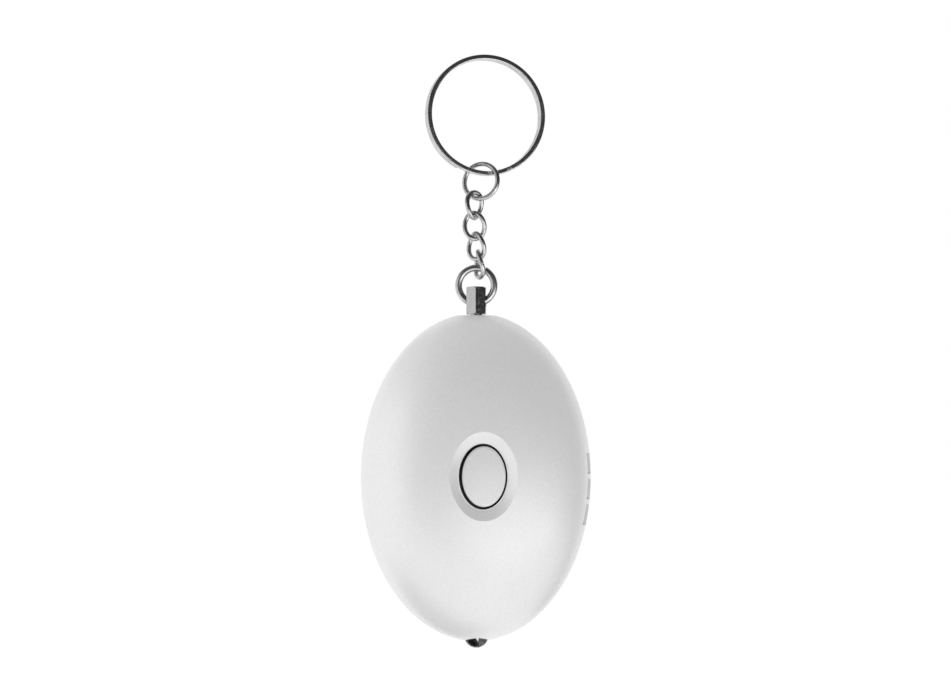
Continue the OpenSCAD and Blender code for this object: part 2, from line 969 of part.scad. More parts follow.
front_shell();
rear_shell();
case_screws();
light_button();
switch_plunger();
push_switch();
circuit_board();
siren_chip();
boost_coil();
drive_transistor();
sounder_disc();
sounder_ceramic();
sounder_gasket();
sounder_wires();
button_cells();
plus_contact();
minus_contact();
lamp();
lamp_wires();
pin_contacts();
pull_pin();
pin_ring();
chain_link_1();
chain_link_2();
chain_link_3();
chain_link_4();
connector_ring();
key_ring();
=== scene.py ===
import math

import bmesh
import bpy
from mathutils import Matrix, Vector


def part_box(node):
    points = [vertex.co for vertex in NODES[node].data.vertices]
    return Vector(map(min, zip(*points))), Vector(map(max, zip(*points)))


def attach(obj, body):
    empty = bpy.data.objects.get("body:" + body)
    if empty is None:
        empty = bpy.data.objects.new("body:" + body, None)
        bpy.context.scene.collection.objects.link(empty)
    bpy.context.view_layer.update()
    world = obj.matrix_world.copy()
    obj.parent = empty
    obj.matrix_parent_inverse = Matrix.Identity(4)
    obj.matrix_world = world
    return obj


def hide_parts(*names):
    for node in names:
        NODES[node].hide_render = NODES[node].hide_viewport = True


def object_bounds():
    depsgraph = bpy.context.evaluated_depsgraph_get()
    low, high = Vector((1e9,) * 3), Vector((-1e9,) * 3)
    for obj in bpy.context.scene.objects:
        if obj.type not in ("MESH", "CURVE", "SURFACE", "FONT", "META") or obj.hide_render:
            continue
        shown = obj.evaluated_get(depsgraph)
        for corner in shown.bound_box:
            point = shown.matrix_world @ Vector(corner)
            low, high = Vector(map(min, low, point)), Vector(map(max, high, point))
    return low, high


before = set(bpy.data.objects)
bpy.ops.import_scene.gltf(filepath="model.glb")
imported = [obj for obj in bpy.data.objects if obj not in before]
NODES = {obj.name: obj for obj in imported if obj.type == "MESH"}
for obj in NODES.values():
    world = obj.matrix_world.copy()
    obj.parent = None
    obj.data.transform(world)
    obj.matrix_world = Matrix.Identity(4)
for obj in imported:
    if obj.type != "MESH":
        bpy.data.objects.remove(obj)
CAD_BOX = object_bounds()
MM = 0.001

# Case and button, as the solids have them
CASE_W = 47.6 * MM
CASE_D = 26.0 * MM
CASE_H = 67.5 * MM
SEAT_CUT = 0.5 * MM
DISH_DEPTH = 1.8 * MM
BUTTON_W = 8.9 * MM
BUTTON_EDGE = 0.45 * MM
FLANGE_T = 0.9 * MM
CASE_X = sum(corner.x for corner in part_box("rear_shell")) / 2
CASE_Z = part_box("rear_shell")[1].z - CASE_H / 2 + SEAT_CUT
CASE_MID = Vector((CASE_X, 0, CASE_Z))
LAND_Y = DISH_DEPTH - CASE_D / 2

# Key ring: band and coil are the sides of its wire, and the ends are degrees from its lowest point
KEY_D = 2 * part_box("key_ring")[1].z
KEY_BAND = 1.0 * MM
KEY_COIL = 1.3 * MM
KEY_PITCH = 1.35 * MM
KEY_TURN = 7
KEY_END_LEFT = 28
KEY_END_RIGHT = 25
KEY_EDGE = 0.22 * MM
KEY_END_EDGE = 0.1 * MM

# Chain: turn about the vertical, sideways tilt, and where the wire's ends meet, in degrees
WIRE_SLIT = 0.12 * MM
WIRE_END_EDGE = 0.08
LINK_L = 6.4 * MM
LINK_W = 5.1 * MM
LINK_WIRE = 1.0 * MM
LINK_TWIST = 18
LINK_TURN = (39, -16, -49, -82)
LINK_TILT = (2, -6, -4, -4)
LINK_SLIT = (0, 180, 150, 0)
LINK_GAP = 0.05 * MM
LINK_END_EDGE = 0.04
CONNECTOR_D = 8.4 * MM
CONNECTOR_TURN = -30
CONNECTOR_TILT = 14
CONNECTOR_SLIT = 215
PIN_RING_D = 8.8 * MM
PIN_RING_WIRE = 1.45 * MM
PIN_TURN = -11
PIN_RING_SLIT = 62

# Lamp: lens, and the notch between the two halves of its lead frame
LAMP_R = 2.5 * MM
LAMP_FLANGE_T = 1.0 * MM
LAMP_SKIN = 0.25 * MM
NOTCH_X = 0.12 * MM
NOTCH_Z = 1.05 * MM
NOTCH_GAP = 0.02 * MM
NOTCH_LEAN = 28

# Steps round and along curved pieces
WIRE_SIDES = 28
RING_STEPS = 144
KEY_STEPS = 150
KEY_RAMP_STEPS = 24
LINK_STEPS = 96
BUTTON_STEPS = 128
LAMP_STEPS = 64
DOME_STEPS = 24
WALL_STEPS = 48
SHARP_ANGLE = 40
MERGE = 0.001 * MM

# View: the photograph's frame on the plane of the key ring
VIEW_TURN = -7
VIEW_LENS = 100
VIEW_SENSOR = 36
FRAME_WIDTH = 950 / 4.84 * MM
FRAME_MID = (-2.13 * MM, -48.76 * MM)

# Studio, in metres: how bright floor and world show, and how strongly they light the object
FLOOR_DROP = 0.19
FLOOR_HALF = 6
FLOOR_TONE = 0.5
FLOOR_SHOWN = 0.8
FLOOR_LIT = 0.47
WORLD_SHOWN = 1.0
WORLD_LIT = 0.43
# Soft lights: place, width, height, power, and whether metal shows them
SOFTBOXES = {
    "left_softbox": ((-0.62, -0.3, -0.05), 0.5, 0.7, 1.5, False),
    "upper_left_softbox": ((-0.5, 0.1, 0.5), 0.5, 0.5, 2.2, False),
    "upper_right_softbox": ((0.5, 0.1, 0.5), 0.5, 0.5, 1.5, False),
    "low_softbox": ((0.22, -0.42, -0.25), 0.7, 0.35, 1.2, True),
}
# Dark walls: start and end in degrees to the right of the camera's side, foot and tone
WALL_R = 0.8
WALL_TOP = 1.2
DARK_WALLS = {
    "front_wall": (-36, 116, -0.3, 0.04),
    "upper_left_wall": (-130, -36, 0.38, 0.2),
}
CEILING_HALF = 0.8
CEILING_FORWARD = 0.4
CEILING_TONE = 0.25
# Dark cards just above the floor: middle, length, width and turn
CARD_Z = -0.29
CARD_TONE = 0.04
DARK_CARDS = {
    "left_card": (-0.13, 0.01, 0.3, 0.2, 20),
    "right_card": (0.55, 0.12, 0.7, 0.2, 0),
}


def add(tree, kind, inputs=None, **settings):
    """A node with its settings and with values or links for its named inputs."""
    made = tree.nodes.new(kind)
    for name, value in settings.items():
        setattr(made, name, value)
    for name, value in (inputs or {}).items():
        if isinstance(value, bpy.types.NodeSocket):
            tree.links.new(value, made.inputs[name])
        else:
            made.inputs[name].default_value = value
    return made


def math_node(tree, operation, a, b):
    """One sum of two values."""
    return add(tree, "ShaderNodeMath", {0: a, 1: b}, operation=operation).outputs[0]


def share(tree, value, part):
    """A part of a value."""
    return math_node(tree, "MULTIPLY", value, part)


def mix_colour(tree, factor, a, b):
    """Colour a where the factor is 0, and b where it is 1."""
    made = add(tree, "ShaderNodeMix", data_type="RGBA")
    for index, value in ((0, factor), (6, a), (7, b)):
        if isinstance(value, bpy.types.NodeSocket):
            tree.links.new(value, made.inputs[index])
        else:
            made.inputs[index].default_value = value
    return made.outputs[2]


def spread(tree, value, low, high):
    """A 0 to 1 value spread between two limits."""
    made = add(tree, "ShaderNodeMapRange", {"Value": value, "To Min": low, "To Max": high})
    return made.outputs[0]


def ramp(tree, value, low, high):
    """Smooth step of a value from 0 at low to 1 at high."""
    made = add(tree, "ShaderNodeMapRange", {"Value": value, "From Min": low, "From Max": high})
    made.interpolation_type = "SMOOTHSTEP"
    return made.outputs[0]


def group(name, inputs, outputs):
    """An empty effect group: its tree, the values given to it and the sockets it fills."""
    tree = bpy.data.node_groups.new(name, "ShaderNodeTree")
    for label, kind, value in inputs:
        socket = tree.interface.new_socket(label, in_out="INPUT", socket_type=kind)
        if value is not None:
            socket.default_value = value
    for label in outputs:
        tree.interface.new_socket(label, in_out="OUTPUT", socket_type="NodeSocketFloat")
    return tree, tree.nodes.new("NodeGroupInput").outputs, tree.nodes.new("NodeGroupOutput").inputs


def make_flake_group():
    """Metal flake in paint: a random tone for each flake and the grain of the film over it."""
    tree, given, out = group(
        "paint_flake",
        [("Vector", "NodeSocketVector", None), ("Flakes", "NodeSocketFloat", 5000.0)],
        ["Tone", "Height"],
    )
    cells = add(tree, "ShaderNodeTexVoronoi", {"Vector": given["Vector"], "Scale": given["Flakes"]})
    parts = add(tree, "ShaderNodeSeparateColor", {"Color": cells.outputs["Color"]})
    film_scale = share(tree, given["Flakes"], 0.35)
    film = add(
        tree,
        "ShaderNodeTexNoise",
        {"Vector": given["Vector"], "Scale": film_scale, "Detail": 3.0},
    )
    blend = share(tree, parts.outputs["Red"], 0.5)
    soft = share(tree, film.outputs["Fac"], 0.5)
    tree.links.new(math_node(tree, "ADD", blend, soft), out["Tone"])
    tree.links.new(film.outputs["Fac"], out["Height"])
    return tree


def make_smudge_group():
    """Soft patches left by handling."""
    tree, given, out = group(
        "handling_smudge",
        [("Vector", "NodeSocketVector", None), ("Scale", "NodeSocketFloat", 120.0)],
        ["Patch"],
    )
    noise = add(
        tree,
        "ShaderNodeTexNoise",
        {"Vector": given["Vector"], "Scale": given["Scale"], "Detail": 4.0, "Roughness": 0.6},
    )
    tree.links.new(ramp(tree, noise.outputs["Fac"], 0.35, 0.7), out["Patch"])
    return tree


def make_scratch_group():
    """Hairline scratches along one direction, broken up by a second noise."""
    tree, given, out = group(
        "hairlines",
        [
            ("Vector", "NodeSocketVector", None),
            ("Stretch", "NodeSocketVector", (400.0, 9000.0, 9000.0)),
            ("Breaks", "NodeSocketFloat", 250.0),
        ],
        ["Line", "Height"],
    )
    long = add(
        tree,
        "ShaderNodeVectorMath",
        {0: given["Vector"], 1: given["Stretch"]},
        operation="MULTIPLY",
    )
    lines = add(
        tree,
        "ShaderNodeTexNoise",
        {"Vector": long.outputs[0], "Scale": 1.0, "Detail": 2.0, "Roughness": 0.7},
    )
    breaks = add(
        tree,
        "ShaderNodeTexNoise",
        {"Vector": given["Vector"], "Scale": given["Breaks"], "Detail": 1.0},
    )
    thin = ramp(tree, lines.outputs["Fac"], 0.58, 0.7)
    where = ramp(tree, breaks.outputs["Fac"], 0.45, 0.65)
    tree.links.new(math_node(tree, "MULTIPLY", thin, where), out["Line"])
    tree.links.new(lines.outputs["Fac"], out["Height"])
    return tree


def make_round_lines_group():
    """Fine lines that run round a ring about the Y axis, as drawing leaves them on wire."""
    tree, given, out = group(
        "drawn_lines",
        [("Vector", "NodeSocketVector", None), ("Scale", "NodeSocketFloat", 9000.0)],
        ["Line"],
    )
    parts = add(tree, "ShaderNodeSeparateXYZ", {"Vector": given["Vector"]}).outputs
    flat = add(tree, "ShaderNodeCombineXYZ", {"X": parts["X"], "Y": parts["Z"]})
    radius = add(tree, "ShaderNodeVectorMath", {0: flat.outputs[0]}, operation="LENGTH")
    across = add(tree, "ShaderNodeCombineXYZ", {"X": radius.outputs["Value"], "Y": parts["Y"]})
    noise = add(
        tree,
        "ShaderNodeTexNoise",
        {"Vector": across.outputs[0], "Scale": given["Scale"], "Detail": 3.0},
    )
    tree.links.new(noise.outputs["Fac"], out["Line"])
    return tree


FLAKE = make_flake_group()
SMUDGE = make_smudge_group()
HAIRLINES = make_scratch_group()
DRAWN = make_round_lines_group()


def use(tree, effect, inputs):
    """An effect group placed in a material."""
    return add(tree, "ShaderNodeGroup", inputs, node_tree=effect).outputs


def scratches(tree, place, stretch, breaks):
    """Hairlines stretched by their own amount along each axis."""
    return use(tree, HAIRLINES, {"Vector": place, "Stretch": stretch, "Breaks": breaks})


def material(name, **values):
    """A new material, with its tree, its Principled shader and its object coordinates."""
    made = bpy.data.materials.new(name)
    made.use_nodes = True
    tree = made.node_tree
    shader = tree.nodes["Principled BSDF"]
    for label, value in values.items():
        shader.inputs[label.replace("_", " ")].default_value = value
    place = tree.nodes.new("ShaderNodeTexCoord").outputs["Object"]
    return made, tree, shader, place


def link_bump(tree, shader, height, strength, distance):
    """Relief on a shader's normal."""
    relief = {"Height": height, "Strength": strength, "Distance": distance}
    bump = add(tree, "ShaderNodeBump", relief)
    tree.links.new(bump.outputs["Normal"], shader.inputs["Normal"])


def grey(value, warm=0.0):
    """A grey, a little warm where asked."""
    return (value + warm, value, value - warm, 1.0)


def make_paint(name, tone, painted_y, inside):
    """Satin silver paint on the outside of a moulding; the near-black bare moulding shows where no
    paint reached, and it stands in for painted shade in the gaps, slots and holes of the case and
    round the button's skirt.
    """
    made, tree, shader, place = material(
        name, Coat_Weight=0.25, Coat_Roughness=0.25, Specular_IOR_Level=0.5
    )
    flake = use(tree, FLAKE, {"Vector": place, "Flakes": 5200.0})
    smudge = use(tree, SMUDGE, {"Vector": place, "Scale": 90.0})
    lines = scratches(tree, place, (900.0, 9000.0, 5200.0), 160.0)
    paint = mix_colour(tree, flake["Tone"], grey(tone - 0.05), grey(tone + 0.05))
    paint = mix_colour(tree, share(tree, lines["Line"], 0.06), paint, grey(tone + 0.1))
    paint = mix_colour(tree, share(tree, smudge["Patch"], 0.05), paint, grey(tone - 0.12))
    parts = add(tree, "ShaderNodeSeparateXYZ", {"Vector": place})
    # Painted shade: behind the painted front and below the outer skin the colour turns near-black,
    # so gaps, slots, holes and the button's skirt look shaded; it is also the bare moulding's own
    # colour there.
    cover = ramp(tree, parts.outputs["Y"], painted_y + 0.1 * MM, painted_y)
    if inside:
        from_mid = add(tree, "ShaderNodeVectorMath", {0: place, 1: CASE_MID}, operation="SUBTRACT")
        over = Vector((2 / CASE_W, 2 / CASE_D, 2 / CASE_H))
        unit = add(
            tree, "ShaderNodeVectorMath", {0: from_mid.outputs[0], 1: over}, operation="MULTIPLY"
        )
        reach = add(tree, "ShaderNodeVectorMath", {0: unit.outputs[0]}, operation="LENGTH")
        skin = ramp(tree, reach.outputs["Value"], 0.955, 0.97)
        cover = math_node(tree, "MAXIMUM", cover, skin)
    grain = add(tree, "ShaderNodeTexNoise", {"Vector": place, "Scale": 2600.0, "Detail": 2.0})
    bare_plastic_and_shade = mix_colour(tree, grain.outputs["Fac"], grey(0.012), grey(0.03))
    tree.links.new(mix_colour(tree, cover, bare_plastic_and_shade, paint), shader.inputs["Base Color"])
    rough = spread(tree, smudge["Patch"], 0.4, 0.46)
    bare = spread(tree, grain.outputs["Fac"], 0.5, 0.7)
    level = add(tree, "ShaderNodeMix", {0: cover, 2: bare, 3: rough}, data_type="FLOAT")
    tree.links.new(level.outputs[0], shader.inputs["Roughness"])
    tree.links.new(spread(tree, cover, 0.0, 0.2), shader.inputs["Metallic"])
    link_bump(tree, shader, flake["Height"], 0.12, 0.02 * MM)
    return made


def make_chrome(name, tone, rough, round_lines):
    """Bright plated wire with drawing lines, light scratches and dull patches."""
    made, tree, shader, place = material(name, Metallic=1.0)
    smudge = use(tree, SMUDGE, {"Vector": place, "Scale": 700.0})
    lines = scratches(tree, place, (3000.0, 9000.0, 1800.0), 900.0)
    colour = mix_colour(tree, smudge["Patch"], grey(tone), grey(tone - 0.1, 0.008))
    colour = mix_colour(tree, share(tree, lines["Line"], 0.3), colour, grey(tone - 0.3))
    tree.links.new(colour, shader.inputs["Base Color"])
    dull = spread(tree, smudge["Patch"], rough, rough + 0.1)
    level = math_node(tree, "ADD", dull, share(tree, lines["Line"], 0.1))
    tree.links.new(level, shader.inputs["Roughness"])
    height = lines["Height"]
    if round_lines:
        height = use(tree, DRAWN, {"Vector": place, "Scale": 7000.0})["Line"]
    link_bump(tree, shader, height, 0.05, 0.02 * MM)
    return made


def make_pin_plate():
    """Nickel on the turned pin: mottled plating, fine turning lines and shallow dents."""
    made, tree, shader, place = material("pin_plate", Metallic=1.0)
    flake = use(tree, FLAKE, {"Vector": place, "Flakes": 4200.0})
    lines = scratches(tree, place, (700.0, 700.0, 9000.0), 500.0)
    colour = mix_colour(tree, flake["Tone"], grey(0.4, 0.006), grey(0.58))
    colour = mix_colour(tree, share(tree, lines["Line"], 0.25), colour, grey(0.35))
    tree.links.new(colour, shader.inputs["Base Color"])
    tree.links.new(spread(tree, flake["Tone"], 0.08, 0.22), shader.inputs["Roughness"])
    dents = add(tree, "ShaderNodeTexNoise", {"Vector": place, "Scale": 1000.0, "Detail": 3.0})
    link_bump(tree, shader, dents.outputs["Fac"], 0.55, 0.12 * MM)
    return made


def make_steel(name, tone, rough):
    """Rolled steel with scratches and dull patches."""
    made, tree, shader, place = material(name, Metallic=1.0)
    smudge = use(tree, SMUDGE, {"Vector": place, "Scale": 600.0})
    lines = scratches(tree, place, (800.0, 8000.0, 8000.0), 700.0)
    colour = mix_colour(tree, smudge["Patch"], grey(tone), grey(tone - 0.14, 0.006))
    colour = mix_colour(tree, share(tree, lines["Line"], 0.4), colour, grey(tone - 0.3))
    tree.links.new(colour, shader.inputs["Base Color"])
    tree.links.new(spread(tree, smudge["Patch"], rough, rough + 0.15), shader.inputs["Roughness"])
    link_bump(tree, shader, lines["Height"], 0.15, 0.02 * MM)
    return made


def make_black_plastic():
    """Black moulding with the fine grain of its tool."""
    made, tree, shader, place = material("moulded_black", Specular_IOR_Level=0.4)
    grain = add(tree, "ShaderNodeTexNoise", {"Vector": place, "Scale": 4500.0, "Detail": 3.0})
    smudge = use(tree, SMUDGE, {"Vector": place, "Scale": 400.0})
    colour = mix_colour(tree, smudge["Patch"], grey(0.018), grey(0.034))
    tree.links.new(colour, shader.inputs["Base Color"])
    tree.links.new(spread(tree, grain.outputs["Fac"], 0.38, 0.6), shader.inputs["Roughness"])
    link_bump(tree, shader, grain.outputs["Fac"], 0.25, 0.03 * MM)
    return made


def make_board():
    """Green solder mask with faint tracks under it."""
    made, tree, shader, place = material("solder_mask", Coat_Weight=0.4, Coat_Roughness=0.15)
    weave = add(tree, "ShaderNodeTexNoise", {"Vector": place, "Scale": 1800.0, "Detail": 2.0})
    quarter = (math.radians(90), 0.0, 0.0)
    turned = add(tree, "ShaderNodeMapping", {"Vector": place, "Rotation": quarter})
    tracks = add(
        tree,
        "ShaderNodeTexBrick",
        {
            "Vector": turned.outputs[0],
            "Scale": 330.0,
            "Mortar Size": 0.06,
            "Brick Width": 1.7,
            "Row Height": 0.8,
        },
    )
    mask = mix_colour(
        tree, weave.outputs["Fac"], (0.008, 0.09, 0.035, 1), (0.014, 0.14, 0.055, 1)
    )
    mask = mix_colour(tree, share(tree, tracks.outputs["Fac"], 0.55), mask, (0.05, 0.27, 0.1, 1))
    tree.links.new(mask, shader.inputs["Base Color"])
    tree.links.new(spread(tree, weave.outputs["Fac"], 0.3, 0.45), shader.inputs["Roughness"])
    link_bump(tree, shader, tracks.outputs["Fac"], 0.3, 0.03 * MM)
    return made


def make_winding():
    """Enamelled copper turns laid side by side, in dark and bright bands, one pair per turn:
    painted shade between the turns and painted highlight on them.
    """
    made, tree, shader, place = material("enamelled_copper", Metallic=1.0, Coat_Weight=0.5)
    turns = add(
        tree,
        "ShaderNodeTexWave",
        {"Vector": place, "Scale": 620.0, "Distortion": 0.4, "Detail": 1.0},
        wave_type="BANDS",
        bands_direction="Y",
    )
    smudge = use(tree, SMUDGE, {"Vector": place, "Scale": 500.0})
    # Painted shade and highlight: the copper darkens in the bands between turns and brightens on
    # the turns.
    colour = mix_colour(
        tree, turns.outputs["Fac"], (0.22, 0.07, 0.025, 1), (0.62, 0.26, 0.1, 1)
    )
    tree.links.new(colour, shader.inputs["Base Color"])
    tree.links.new(spread(tree, smudge["Patch"], 0.25, 0.4), shader.inputs["Roughness"])
    link_bump(tree, shader, turns.outputs["Fac"], 0.6, 0.08 * MM)
    return made


def make_brass():
    """Rolled brass, a little tarnished."""
    made, tree, shader, place = material("rolled_brass", Metallic=1.0)
    smudge = use(tree, SMUDGE, {"Vector": place, "Scale": 300.0})
    lines = scratches(tree, place, (500.0, 6000.0, 7000.0), 300.0)
    colour = mix_colour(tree, smudge["Patch"], (0.72, 0.5, 0.2, 1), (0.56, 0.36, 0.13, 1))
    colour = mix_colour(tree, share(tree, lines["Line"], 0.4), colour, (0.36, 0.22, 0.08, 1))
    tree.links.new(colour, shader.inputs["Base Color"])
    tree.links.new(spread(tree, smudge["Patch"], 0.22, 0.4), shader.inputs["Roughness"])
    link_bump(tree, shader, lines["Height"], 0.2, 0.02 * MM)
    return made


def make_silvered_ceramic():
    """Sounder ceramic under its fired silver layer, which is matt and speckled."""
    made, tree, shader, place = material("silvered_ceramic", Specular_IOR_Level=0.4)
    flake = use(tree, FLAKE, {"Vector": place, "Flakes": 2600.0})
    smudge = use(tree, SMUDGE, {"Vector": place, "Scale": 260.0})
    colour = mix_colour(tree, flake["Tone"], (0.62, 0.6, 0.54, 1), (0.8, 0.78, 0.72, 1))
    colour = mix_colour(tree, share(tree, smudge["Patch"], 0.2), colour, (0.5, 0.47, 0.4, 1))
    tree.links.new(colour, shader.inputs["Base Color"])
    tree.links.new(spread(tree, flake["Tone"], 0.35, 0.55), shader.inputs["Roughness"])
    link_bump(tree, shader, flake["Height"], 0.2, 0.02 * MM)
    return made


def make_foam():
    """Closed-cell foam with small open pores on the cut faces."""
    made, tree, shader, place = material("cell_foam", Specular_IOR_Level=0.2)
    cells = add(tree, "ShaderNodeTexVoronoi", {"Vector": place, "Scale": 3600.0})
    colour = mix_colour(tree, cells.outputs["Distance"], grey(0.012), grey(0.05))
    tree.links.new(colour, shader.inputs["Base Color"])
    tree.links.new(spread(tree, cells.outputs["Distance"], 0.95, 0.75), shader.inputs["Roughness"])
    link_bump(tree, shader, cells.outputs["Distance"], 0.7, 0.1 * MM)
    return made


def make_wire_cover():
    """Red insulation of the wires inside the case."""
    made, tree, shader, place = material("wire_cover", Specular_IOR_Level=0.5)
    smudge = use(tree, SMUDGE, {"Vector": place, "Scale": 500.0})
    grain = add(tree, "ShaderNodeTexNoise", {"Vector": place, "Scale": 3000.0, "Detail": 2.0})
    colour = mix_colour(tree, smudge["Patch"], (0.42, 0.016, 0.012, 1), (0.3, 0.012, 0.01, 1))
    tree.links.new(colour, shader.inputs["Base Color"])
    tree.links.new(spread(tree, grain.outputs["Fac"], 0.3, 0.45), shader.inputs["Roughness"])
    link_bump(tree, shader, grain.outputs["Fac"], 0.15, 0.02 * MM)
    return made


def make_lead_frame(name, tone):
    """Stamped metal inside the lamp, in the tone given: its near-black and grey copies are painted
    shade and painted light on the lamp's two sides.
    """
    made, tree, shader, place = material(name, Metallic=1.0)
    smudge = use(tree, SMUDGE, {"Vector": place, "Scale": 1500.0})
    colour = mix_colour(tree, smudge["Patch"], grey(tone), grey(0.6 * tone))
    tree.links.new(colour, shader.inputs["Base Color"])
    tree.links.new(spread(tree, smudge["Patch"], 0.25, 0.4), shader.inputs["Roughness"])
    return made


def make_lens():
    """Clear resin of the lamp, with faint flow marks from casting."""
    made, tree, shader, place = material(
        "clear_resin", IOR=1.3, Transmission_Weight=1.0, Metallic=0.0
    )
    flow = add(
        tree,
        "ShaderNodeTexNoise",
        {"Vector": place, "Scale": 450.0, "Detail": 2.0, "Distortion": 0.6},
    )
    colour = mix_colour(tree, flow.outputs["Fac"], (0.93, 0.95, 0.97, 1), (0.99, 1.0, 1.0, 1))
    tree.links.new(colour, shader.inputs["Base Color"])
    tree.links.new(spread(tree, flow.outputs["Fac"], 0.02, 0.07), shader.inputs["Roughness"])
    link_bump(tree, shader, flow.outputs["Fac"], 0.04, 0.05 * MM)
    return made


def finish_piece(name, bm, look, body, slot, *nodes):
    """Turns a bmesh into a piece that rides on a body and stands for CAD nodes."""
    bmesh.ops.recalc_face_normals(bm, faces=bm.faces)
    mesh = bpy.data.meshes.new(name)
    bm.to_mesh(mesh)
    bm.free()
    mesh.materials.append(look)
    mesh.shade_smooth()
    mesh.set_sharp_from_angle(angle=math.radians(SHARP_ANGLE))
    piece = bpy.data.objects.new(name, mesh)
    bpy.context.scene.collection.objects.link(piece)
    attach(piece, body)
    if nodes:
        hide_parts(*nodes)


def local_frame(node, turn, tilt):
    """Where a turned and tilted wire piece stands: its axes, and the middle of its box on them."""
    axes = Matrix.Rotation(math.radians(tilt), 4, "Y") @ Matrix.Rotation(math.radians(turn), 4, "Z")
    back = axes.inverted()
    points = [back @ v.co for v in NODES[node].data.vertices]
    mid = Vector([(min(p[i] for p in points) + max(p[i] for p in points)) / 2 for i in range(3)])
    return Matrix.Translation(axes @ mid) @ axes


def round_ends(bm, width):
    """Breaks the sharp edge round both cut ends of a wire."""
    caps = [f for f in bm.faces if len(f.verts) > 4]
    edges = list({e for f in caps for e in f.edges})
    bmesh.ops.bevel(
        bm, geom=edges, offset=width, segments=2, profile=0.5, affect="EDGES", material=-1
    )


RING_AXIS = Vector((0, -1, 0))


def spin_on(bm, geom, angle, steps, step_back=0.0):
    """Spins a section on round a ring and returns its last copy."""
    made = bmesh.ops.spin(
        bm,
        geom=geom,
        cent=(0, 0, 0),
        axis=RING_AXIS,
        dvec=(0, step_back, 0),
        angle=angle,
        steps=steps,
        use_merge=False,
    )
    return made["geom_last"]


def make_ring(name, node, outer, wire, turn, tilt, slit, look, body, slot):
    """Ring of round wire with a narrow slit, spun from its section."""
    radius = (outer - wire) / 2
    half = WIRE_SLIT / 2 / radius
    bm = bmesh.new()
    section = bmesh.ops.create_circle(bm, cap_ends=True, segments=WIRE_SIDES, radius=wire / 2)
    bmesh.ops.translate(bm, verts=section["verts"], vec=(radius, 0, 0))
    start = Matrix.Rotation(math.radians(slit) + half, 4, RING_AXIS)
    bmesh.ops.transform(bm, verts=bm.verts, matrix=start)
    spin_on(bm, bm.faces[:] + bm.edges[:] + bm.verts[:], 2 * math.pi - 2 * half, RING_STEPS)
    round_ends(bm, WIRE_END_EDGE * wire)
    bmesh.ops.transform(bm, verts=bm.verts, matrix=local_frame(node, turn, tilt))
    finish_piece(name, bm, look, body, slot, node)


def make_key_ring(look):
    """Split ring: front coil, step back, and rear coil, all spun from one rounded section."""
    bm = bmesh.new()
    section = bmesh.ops.create_circle(bm, cap_ends=True, segments=4, radius=math.sqrt(0.5))
    square = Matrix.Rotation(math.radians(45), 3, "Z")
    bmesh.ops.rotate(bm, verts=section["verts"], matrix=square)
    bmesh.ops.scale(bm, verts=bm.verts, vec=(KEY_BAND, KEY_COIL, 1))
    bmesh.ops.bevel(
        bm,
        geom=bm.verts[:],
        offset=KEY_EDGE,
        segments=6,
        profile=0.5,
        affect="VERTICES",
        material=-1,
    )
    bmesh.ops.translate(bm, verts=bm.verts, vec=(KEY_D / 2 - KEY_BAND / 2, -KEY_PITCH / 2, 0))
    start = Matrix.Rotation(math.radians(270 + KEY_END_RIGHT), 4, RING_AXIS)
    bmesh.ops.transform(bm, verts=bm.verts, matrix=start)
    step = math.radians(KEY_END_LEFT + KEY_END_RIGHT)
    coil = 2 * math.pi - step
    last = spin_on(bm, bm.faces[:] + bm.edges[:] + bm.verts[:], coil, KEY_STEPS)
    levels = [math.cos(math.pi * i / KEY_RAMP_STEPS) for i in range(KEY_RAMP_STEPS + 1)]
    for level, after in zip(levels, levels[1:]):
        last = spin_on(bm, last, step / KEY_RAMP_STEPS, 1, KEY_PITCH / 2 * (level - after))
    spin_on(bm, last, coil, KEY_STEPS)
    round_ends(bm, KEY_END_EDGE)
    turn = Matrix.Rotation(math.radians(KEY_TURN), 3, "Z")
    bmesh.ops.rotate(bm, verts=bm.verts, matrix=turn)
    finish_piece("split_ring_wire", bm, look, "key_ring", "ring_nickel", "key_ring")


def make_link(number, look):
    """Twisted oval link of round wire, swept along its centre line and open at one side."""
    node = "chain_link_%d" % number
    half_w = (LINK_W - LINK_WIRE) / 2
    half_l = (LINK_L - LINK_WIRE) / 2
    half_gap = LINK_GAP / 2 / half_w
    start = math.radians(LINK_SLIT[number - 1]) + half_gap
    curve = bpy.data.curves.new(node + "_line", "CURVE")
    curve.dimensions = "3D"
    curve.bevel_depth = LINK_WIRE / 2
    curve.bevel_resolution = 6
    curve.use_fill_caps = True
    curve.twist_mode = "MINIMUM"
    line = curve.splines.new("POLY")
    line.points.add(LINK_STEPS)
    for i, point in enumerate(line.points):
        a = start + (2 * math.pi - 2 * half_gap) * i / LINK_STEPS
        twist = -math.radians(LINK_TWIST) * math.sin(a)
        x = half_w * math.cos(a)
        point.co = (x * math.cos(twist), x * math.sin(twist), half_l * math.sin(a), 1)
    swept = bpy.data.objects.new(node + "_line", curve)
    bpy.context.scene.collection.objects.link(swept)
    bpy.context.view_layer.update()
    evaluated = swept.evaluated_get(bpy.context.evaluated_depsgraph_get())
    mesh = bpy.data.meshes.new_from_object(evaluated)
    bpy.data.objects.remove(swept)
    bpy.data.curves.remove(curve)
    bm = bmesh.new()
    bm.from_mesh(mesh)
    bpy.data.meshes.remove(mesh)
    bmesh.ops.remove_doubles(bm, verts=bm.verts, dist=MERGE)
    round_ends(bm, LINK_END_EDGE * LINK_WIRE)
    stands = local_frame(node, LINK_TURN[number - 1], LINK_TILT[number - 1])
    bmesh.ops.transform(bm, verts=bm.verts, matrix=stands)
    finish_piece("link_wire_%d" % number, bm, look, "link_%d" % number, "chain_nickel", node)


def extrude_up(bm, face, height):
    """Raises one face along +Z and returns it."""
    made = bmesh.ops.extrude_face_region(bm, geom=[face])
    top = next(g for g in made["geom"] if isinstance(g, bmesh.types.BMFace))
    bmesh.ops.translate(bm, verts=top.verts, vec=(0, 0, height))
    return top


